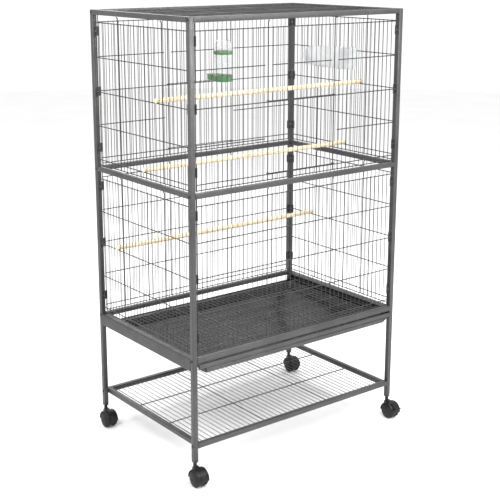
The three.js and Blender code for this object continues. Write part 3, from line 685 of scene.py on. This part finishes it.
def doors():
    for side in ("front", "back"):
        at, width, _, _ = wall_frame(side, "upper")
        spaces, pitch = mat_spaces(width)
        rods = wall_rods(side, spaces)
        rod = width / 2 - rods[0] * pitch
        lo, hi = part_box("door_" + side)
        low = lo[2] + DOOR_BAR_INSET
        high = hi[2] - DOOR_BAR_INSET
        shape = Shape()
        for i in range(1, rods[1] - rods[0]):
            a = -rod + i * pitch
            foot, tip = low - DOOR_WIRE_LAP, high + DOOR_WIRE_LAP
            shape.wire([at(a, foot, DOOR_LAYER), at(a, tip, DOOR_LAYER)], WIRE)
        for b in (low, high):
            bend = DOOR_BAR_BEND
            shape.wire([at(-rod, b, RING_DEPTH), at(-rod + bend / 2, b, DOOR_LAYER - 0.2 * MM),
                        at(-rod + bend, b, DOOR_LAYER), at(rod - bend, b, DOOR_LAYER),
                        at(rod - bend / 2, b, DOOR_LAYER - 0.2 * MM), at(rod, b, RING_DEPTH)], DOOR_BAR)
            for a in (-rod, rod):
                middle = Vector(at(a, b, 0))
                across = (Vector(at(a + 1, b, 0)) - middle).normalized()
                outwards = (Vector(at(a, b, 1)) - middle).normalized()
                shape.hoop(middle, across, outwards, RING_RADIUS, RING_WIRE)
        piece("wires_door_" + side, shape, WIRE_PAINT, ["door_" + side], body="door_" + side)


def flat_mat(name, node, body, overhang, row_places, top_up, paint):
    """A mat that lies flat, with its rows above its uprights or below them."""
    lo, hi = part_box(node)
    y = (lo[1] + hi[1]) / 2
    width = hi[0] - lo[0] - 2 * (overhang or ROW)
    half = (hi[1] - lo[1]) / 2
    z = lo[2] + LAYER_HALF if top_up else hi[2] - LAYER_HALF
    sign = 1 if top_up else -1
    spaces, _ = mat_spaces(width)
    rods = wall_rods("front", spaces)
    rows = [(share * half, []) for share in row_places]
    shape = Shape()

    def at(a, b, c):
        return (a, y + b, z + sign * c)

    wire_mat(shape, at, width, -half, half, half, rods, rows, None, overhang, hooks=False)
    shape.wire([at(-width / 2, half - ROW, 0), at(width / 2, half - ROW, 0)], ROW)
    piece(name, shape, paint, [node], body=body)


# ---- Aprons ----

def aprons():
    for side, s in (("left", -1), ("right", 1)):
        lo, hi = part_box("apron_" + side)
        outer = hi[0] if s > 0 else lo[0]
        foot, top = lo[2], hi[2]
        t = SHEET / 2
        tray_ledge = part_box("tray")[1][2] - 1.8 * MM
        grate_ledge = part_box("grate")[0][2] - 0.3 * MM
        bends = [
            [(7 * MM, foot + t), (t, foot + t), (t, top - t), (26 * MM, top - t - 3 * MM)],
            [(3 * t, tray_ledge - 8 * MM), (3 * t, tray_ledge - t), (LEDGE_DEPTH, tray_ledge - t)],
            [(3 * t, grate_ledge + 7 * MM), (3 * t, grate_ledge - t), (LEDGE_DEPTH, grate_ledge - t)],
        ]
        for name, path in zip(("apron_sheet_", "tray_ledge_", "grate_ledge_"), bends):
            outline = strip(filleted(path, 2.5 * MM, 5, closed=False), SHEET)
            shape = Shape()
            shape.prism(outline, lambda a, b, c: (outer - s * a, lo[1] + c, b), hi[1] - lo[1])
            nodes = ["apron_" + side] if name == "apron_sheet_" else []
            piece(name + side, shape, APRON_PAINT, nodes, sharp=50)


# ---- Tray ----

def tray():
    lo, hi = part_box("tray")
    x = (hi[0] - lo[0]) / 2
    y = (lo[1] + hi[1]) / 2
    depth = (hi[1] - lo[1]) / 2
    rim_top, floor = hi[2], lo[2]
    wall = 1.5 * MM
    inset = 20 * MM
    taper = 4 * MM

    def loop(shrink, z, radius, forward=0.0):
        """A rounded rectangle inside the rim's outer edge; the front keeps closer to the edge by forward."""
        outline = rounded_rectangle(x - shrink, depth - shrink + forward / 2, radius, 6)
        return [(a, y + b - forward / 2, z) for a, b in outline]

    forward = inset - 1 * MM
    rings = [
        loop(inset + wall + taper + 5 * MM, floor + wall, 10 * MM, forward),
        loop(inset + wall + taper, floor + wall + 3 * MM, 12 * MM, forward),
        loop(inset + wall + 1 * MM, rim_top - 1.5 * MM, 14 * MM, forward),
        loop(inset - 1 * MM, rim_top, 15 * MM, forward - 2 * MM),
        loop(3 * MM, rim_top, 8 * MM),
        loop(1 * MM, rim_top + 0.8 * MM, 7 * MM),
        loop(0, rim_top, 6 * MM),
        loop(0, rim_top - wall, 6 * MM),
        loop(inset, rim_top - wall, 14 * MM, forward),
        loop(inset + taper, floor + 3 * MM, 13 * MM, forward),
        loop(inset + taper + 3 * MM, floor, 10 * MM, forward),
    ]
    shape = Shape()
    shape.loft(rings)
    piece("tray_pan", shape, TRAY_PLASTIC, ["tray"], body="tray", sharp=60)


def tray_front():
    lo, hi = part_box("tray_front")
    f, b = lo[1], hi[1]
    foot, top = lo[2], hi[2]
    groove = top - 12.7 * MM
    lip = [(b, groove), (f + 2 * MM, groove), (f, groove + 2.4 * MM), (f, top - 2 * MM),
           (f + 2 * MM, top), (b, top)]
    face = [(b, foot), (f + 2.2 * MM, foot), (f + 0.6 * MM, foot + 2 * MM), (f + 0.6 * MM, groove - 3 * MM),
            (f + 3.4 * MM, groove - 1.2 * MM), (f + 3.4 * MM, groove + 1 * MM), (b, groove + 1 * MM)]
    short = 24 * MM
    shape = Shape()
    width = hi[0] - lo[0]
    shape.prism(filleted(lip, 1.6 * MM), lambda a, z, c: (lo[0] + c, a, z), width)
    shape.prism(filleted(face, 1.2 * MM), lambda a, z, c: (lo[0] + short + c, a, z), width - 2 * short)
    piece("tray_front_panel", shape, FRAME_PAINT, ["tray_front"], body="tray", sharp=50)
    ends = Shape()
    for s in (-1, 1):
        edge = hi[0] if s > 0 else -lo[0]
        corner = [(s * (edge - short), foot + 0.5 * MM), (s * (edge - short), groove),
                  (s * (edge - 2 * MM), groove), (s * (edge - 9 * MM), foot + 9 * MM)]
        ends.prism(filleted(corner, 2 * MM), lambda a, z, c: (a, f + 3 * MM + c, z), 4 * MM)
    piece("tray_front_corners", ends, TRAY_PLASTIC, body="tray", sharp=50)


# ---- Perches, feeder and bath ----

def perches():
    for level in ("upper", "middle", "lower"):
        lo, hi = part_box("perch_" + level)
        x0, x1 = lo[0], hi[0]
        y = (lo[1] + hi[1]) / 2
        r = (hi[1] - lo[1]) / 2
        z = (lo[2] + hi[2]) / 2
        neck = 5.5 * MM
        half = [(0, 0), (r - 1.5 * MM, 0), (r - 0.4 * MM, 0.5 * MM), (r, 1.3 * MM), (r, 2.6 * MM),
                (neck, 3.1 * MM), (neck, 6.2 * MM), (r, 6.8 * MM), (r, 12 * MM)]
        length = x1 - x0
        profile = half + [(r, length / 2)] + [(q, length - c) for q, c in reversed(half)]
        shape = Shape()
        shape.turned(profile, along_x(x0, y, z), 28)
        piece("dowel_" + level, shape, PINE, ["perch_" + level])


def feeder_outline(radius, half, tip, arc_steps=28, tip_steps=4):
    """A round cup with a straight spout towards the back that has rounded tip corners."""
    meet = math.asin(half / radius)
    corner = min(5 * MM, half * 0.6)
    points = []
    for centre, start in ((half - corner, 0), (-half + corner, 90)):
        for k in range(tip_steps + 1):
            a = math.radians(start + 90 * k / tip_steps)
            points.append((centre + corner * math.cos(a), tip - corner + corner * math.sin(a)))
    start, end = math.pi / 2 + meet, 2.5 * math.pi - meet
    for k in range(arc_steps + 1):
        a = start + (end - start) * k / arc_steps
        points.append((radius * math.cos(a), radius * math.sin(a)))
    return points


def feeder():
    lo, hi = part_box("feeder_bottle")
    x = (lo[0] + hi[0]) / 2
    y = (lo[1] + hi[1]) / 2
    r = (hi[0] - lo[0]) / 2
    base_lo, base_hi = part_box("feeder_base")
    tip = base_hi[1] - y
    half = 15 * MM
    rim = (base_hi[2] - base_lo[2]) / MM
    levels = [(-1.5, 0), (0, 0.8), (0, rim - 5), (0, rim - 2.5), (0.9, rim - 1.8), (0.9, rim - 0.4),
              (0.2, rim), (-1.2, rim), (-1.5, rim - 0.8), (-1.6, 3), (-4, 1.6)]
    cup = Shape()
    outer = r + 1.8 * MM
    flare = 0.9 * MM
    cup.loft([[(x + a, y + b, base_lo[2] + z * MM) for a, b in
               feeder_outline(outer + grow * MM - flare, half + grow * MM - flare,
                              tip + grow * MM - flare)]
              for grow, z in levels])
    piece("feeder_cup", cup, GREEN_PLASTIC, ["feeder_base"], sharp=50)
    height = hi[2] - lo[2]
    w = 1.2 * MM
    dome = [(r - w, 0), (r, 0), (r, height - 9 * MM), (r - 1.2 * MM, height - 5 * MM),
            (r - 4 * MM, height - 2 * MM), (r - 9 * MM, height - 0.4 * MM), (0, height)]
    inside = [(0, height - w), (r - 9 * MM, height - w - 0.4 * MM), (r - 5 * MM, height - w - 2.2 * MM),
              (r - w - 1.2 * MM, height - w - 5.5 * MM), (r - w, height - w - 9 * MM)]
    bottle = Shape()
    bottle.loft([[upright(x, y, lo[2])(a, b, c) for a, b in circle(max(q, 0.05 * MM), 40)]
                 for q, c in dome + inside], closed=True)
    piece("feeder_jar", bottle, CLEAR_PLASTIC, ["feeder_bottle"])
    band_lo, band_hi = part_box("feeder_band")
    inner = r + 0.3 * MM
    outer = (band_hi[0] - band_lo[0]) / 2
    tall = band_hi[2] - band_lo[2]
    ring = [(inner, 0), (outer - 0.4 * MM, 0), (outer, 0.6 * MM), (outer, tall - 0.6 * MM),
            (outer - 0.4 * MM, tall), (inner, tall)]
    band = Shape()
    band.loft([[upright(x, y, band_lo[2])(a, b, c) for a, b in circle(q, 40)] for q, c in ring], closed=True)
    piece("feeder_ring", band, GREEN_PLASTIC, ["feeder_band"])


def bath():
    lo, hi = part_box("bath_trough")
    row = row_heights(*wall_frame("right", "upper")[2:])[1]
    top = row + 9 * MM
    foot = lo[2]
    outer = wall_frame("right", "upper")[0](0, 0, 0)[0] - 1.3 * MM
    x0 = lo[0]
    slope, drop = 36 * MM, 27 * MM
    y0, y1 = lo[1], hi[1]
    wall = 1.6 * MM
    taper = 9 * MM
    bend = (foot + top) / 2

    def loop(z, grow, lift=0.0):
        """A level ring of the trough; above the sloping end's line it comes down to the line."""
        front = x0 + wall + max(0.0, (bend - z) / (bend - foot)) * taper
        back = outer - wall
        half_x = (back - front) / 2 + grow
        half_y = (y1 - y0) / 2 - wall + grow
        outline = rounded_rectangle(half_x, half_y, 7 * MM + grow, 5, side_points=11)
        middle_x, middle_y = (front + back) / 2, (y0 + y1) / 2
        ring = []
        for a, b in outline:
            limit = top - max(0.0, middle_y + b - (y1 - slope)) * drop / slope
            ring.append((middle_x + a, middle_y + b, min(z, limit) + lift))
        return ring

    def bottom(z, grow, inset):
        """The ring at the foot, drawn in to close the trough's underside or its floor."""
        ring = loop(foot, grow)
        middle_x = sum(p[0] for p in ring) / len(ring)
        return [(middle_x + (p[0] - middle_x) * 0.86, y0 + (y1 - y0) / 2 + (p[1] - (y0 + y1) / 2) * inset, z)
                for p in ring]

    shape = Shape()
    outside = [bottom(foot, wall, 0.97), loop(foot + 4 * MM, wall), loop(bend, wall), loop(top, wall)]
    inside = [loop(top, wall, 0.8 * MM), loop(top, 0.2 * MM, 0.8 * MM), loop(bend, 0), loop(foot + 6 * MM, 0),
              bottom(foot + wall, 0, 0.965)]
    shape.loft(outside + inside)
    at, width, _, _ = wall_frame("right", "upper")
    spaces, pitch = mat_spaces(width)
    middle = spaces // 2
    for k in (-2, 5):
        y = at(-width / 2 + (middle + k + 0.5) * pitch, 0, 0)[1]
        clear = ROW_LAYER + ROW + 0.4 * MM
        out = at(0, 0, clear)[0] + 1 * MM
        path = [(outer - wall, row - 6 * MM), (outer - wall, row + 3 * MM),
                (out, row + 3 * MM), (out, row - 5 * MM)]
        outline = strip(filleted(path, 2.2 * MM, 5, closed=False), 1.8 * MM)
        shape.prism(outline, lambda a, z, c: (a, y - 4 * MM + c, z), 8 * MM)
    piece("bath_shell", shape, FROSTED_PLASTIC, ["bath_trough"], sharp=50)


# ---- Feet and casters ----

def foot_plugs():
    for corner in CORNERS:
        x, y, half = corner_post(corner)
        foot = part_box("foot_plug_" + corner)[0][2]
        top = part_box("post_" + corner)[0][2] - 0.2 * MM
        shape = Shape()
        levels = [(half - 4.2 * MM, foot), (half - 2.4 * MM, foot + 0.8 * MM),
                  (half - 0.9 * MM, foot + 2.4 * MM), (half - 0.2 * MM, foot + 4.2 * MM),
                  (half - 0.2 * MM, top)]
        shape.loft([[(x + a, y + b, z) for a, b in rounded_rectangle(h, h, TUBE_CORNER)] for h, z in levels])
        piece("foot_cap_" + corner, shape, PLUG_PLASTIC, ["foot_plug_" + corner])


def wheels(corner):
    """A pair of wheels on one hub; returns the (x, y) of their middle and their radius."""
    lo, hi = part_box("caster_wheels_" + corner)
    x = (lo[0] + hi[0]) / 2
    y = (lo[1] + hi[1]) / 2
    r = (hi[2] - lo[2]) / 2
    out = (hi[0] - lo[0]) / 2
    rim = out - 4 * MM
    half = [(0, out - 1.4 * MM), (2.8 * MM, out - 1.4 * MM), (3.4 * MM, out - 0.5 * MM), (5 * MM, out),
            (9 * MM, out - 0.3 * MM), (13 * MM, out - 1.0 * MM), (16.6 * MM, out - 2.0 * MM),
            (17.2 * MM, out - 2.9 * MM), (18.2 * MM, out - 3.0 * MM), (19 * MM, out - 2.6 * MM),
            (r - 3 * MM, rim), (r - 1.2 * MM, rim - 1.2 * MM), (r - 0.2 * MM, rim - 2.6 * MM),
            (r, rim - 4 * MM), (r, 9.6 * MM), (r - 0.5 * MM, 8.2 * MM), (r - 1.8 * MM, 7.4 * MM),
            (3 * MM, 7.4 * MM)]
    shape = Shape()
    profile = [(q, -c) for q, c in half] + [(q, c) for q, c in reversed(half)]
    shape.turned(profile, along_x(x, y, r), 44)
    piece("twin_wheels_" + corner, shape, WHEEL_PLASTIC, ["caster_wheels_" + corner],
          body="wheels_" + corner)
    return x, y, r


def hood(corner, x, y, r):
    """The fender over the wheels, the disc between them, and the saddle and stem up to the foot plug."""
    lo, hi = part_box("caster_hood_" + corner)
    radius = y - lo[1]
    half = (hi[0] - lo[0]) / 2
    wall = 2.2 * MM
    shape = Shape()
    section = [(-half, -wall), (-half + 0.9 * MM, -wall), (half - 0.9 * MM, -wall), (half, -wall),
               (half, -wall * 0.55), (half - 2.5 * MM, -0.1 * MM), (half * 0.5, 0), (-half * 0.5, 0),
               (-half + 2.5 * MM, -0.1 * MM), (-half, -wall * 0.55)]
    rings = []
    for k in range(37):
        a = math.radians(-6 + 192 * k / 36)
        rings.append([(x + s, y - (radius + t) * math.cos(a), r + (radius + t) * math.sin(a))
                      for s, t in section])
    shape.loft(rings)
    web = 6.6 * MM
    disc = circle(22.5 * MM, 36)
    shape.prism(disc, along_x(x - web, y, r), 2 * web, 0.8 * MM)
    stem_x, stem_y, _ = corner_post(corner)
    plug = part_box("foot_plug_" + corner)[0][2]
    saddle = [(y - 8 * MM, r + 18 * MM), (stem_y + 6 * MM, r + 14 * MM),
              (stem_y + 6 * MM, r + radius - 5 * MM), (stem_y + 3 * MM, r + radius + 1 * MM),
              (stem_y - 4 * MM, r + radius + 3 * MM), (y - 8 * MM, r + radius - 1 * MM)]
    shape.prism(filleted(saddle, 2 * MM), lambda a, z, c: (x - 6.4 * MM + c, a, z), 12.8 * MM)
    collar = [(5.4, r / MM), (5.4, 61.5), (5.0, 63.2), (4, 63.6), (4, 76), (0, 76)]
    top = plug - 0.4 * MM
    profile = [(q * MM, min(z * MM, top) if q > 4 else z * MM) for q, z in collar]
    shape.turned([(0, r), *profile], upright(stem_x, stem_y), 24)
    fender = piece("caster_fender_" + corner, shape, CASTER_PLASTIC,
                   ["caster_hood_" + corner], body="caster_" + corner, sharp=40)
    holes = Shape()
    for across, degrees in ((11, 14), (11, 30), (-11, 14), (-11, 30), (11, 118), (-11, 118)):
        a = math.radians(degrees)
        out, up = -math.cos(a), math.sin(a)
        holes.turned([(HOLE_RADIUS, -HOLE_REACH), (HOLE_RADIUS, HOLE_REACH)], lambda p, q, c: (
            x + across * MM + p, y + (radius + c) * out - q * up, r + (radius + c) * up + q * out), 16)
    pierce(fender, holes)


def brake(x, y, r):
    """The foot lever over the front of the fender, with three grip ribs on its tab."""
    middle = LEVER_CLOSE + 1.3 * MM

    def arm(radius, degrees):
        a = math.radians(degrees)
        return (y - radius * math.cos(a), r + radius * math.sin(a))

    path = [arm(middle, 62), arm(middle, 50), arm(middle, 38), arm(middle + 0.8 * MM, 30), arm(34.5 * MM, 23),
            arm(39 * MM, 19.5)]
    outline = strip(filleted(path, 3 * MM, 4, closed=False), LEVER_SHEET)
    shape = Shape()
    shape.prism(outline, lambda a, z, c: (x - LEVER_WIDTH / 2 + c, a, z), LEVER_WIDTH)
    for radius in (33, 35.5, 38):
        a, z = arm(radius * MM, 21.5)
        shape.wire([(x - 8 * MM, a, z + 1.4 * MM), (x + 8 * MM, a, z + 1.4 * MM)], 0.7 * MM, 8)
    piece("brake_pedal", shape, CASTER_PLASTIC, ["brake_lever_front_right"],
          body="brake_lever", sharp=50)


def casters():
    for corner in CORNERS:
        x, y, r = wheels(corner)
        hood(corner, x, y, r)
        if corner == "front_right":
            brake(x, y, r)


# ---- Floor ----

def floor():
    """A pale disc of studio floor, slightly below the wheels' lowest points."""
    shape = Shape()
    shape.turned([(0, -0.02), (9, -0.02), (9, 0), (0, 0)], upright(0, 0, -0.2 * MM), 96)
    shape.build("floor", floor_paint())


floor()
posts()
rails()
walls()
doors()
flat_mat("wires_roof", "roof_mat", "cage", 6.2 * MM, (-1 / 3, 1 / 3), True, WIRE_PAINT)
flat_mat("wires_shelf", "shelf_mat", "cage", 8.7 * MM, (-1 / 3, 1 / 3), False, WIRE_PAINT)
flat_mat("wires_grate", "grate", "grate", 0.0, (-2 / 3, -1 / 3, 0, 1 / 3, 2 / 3), False, GRATE_PAINT)
aprons()
tray()
tray_front()
perches()
feeder()
bath()
foot_plugs()
casters()
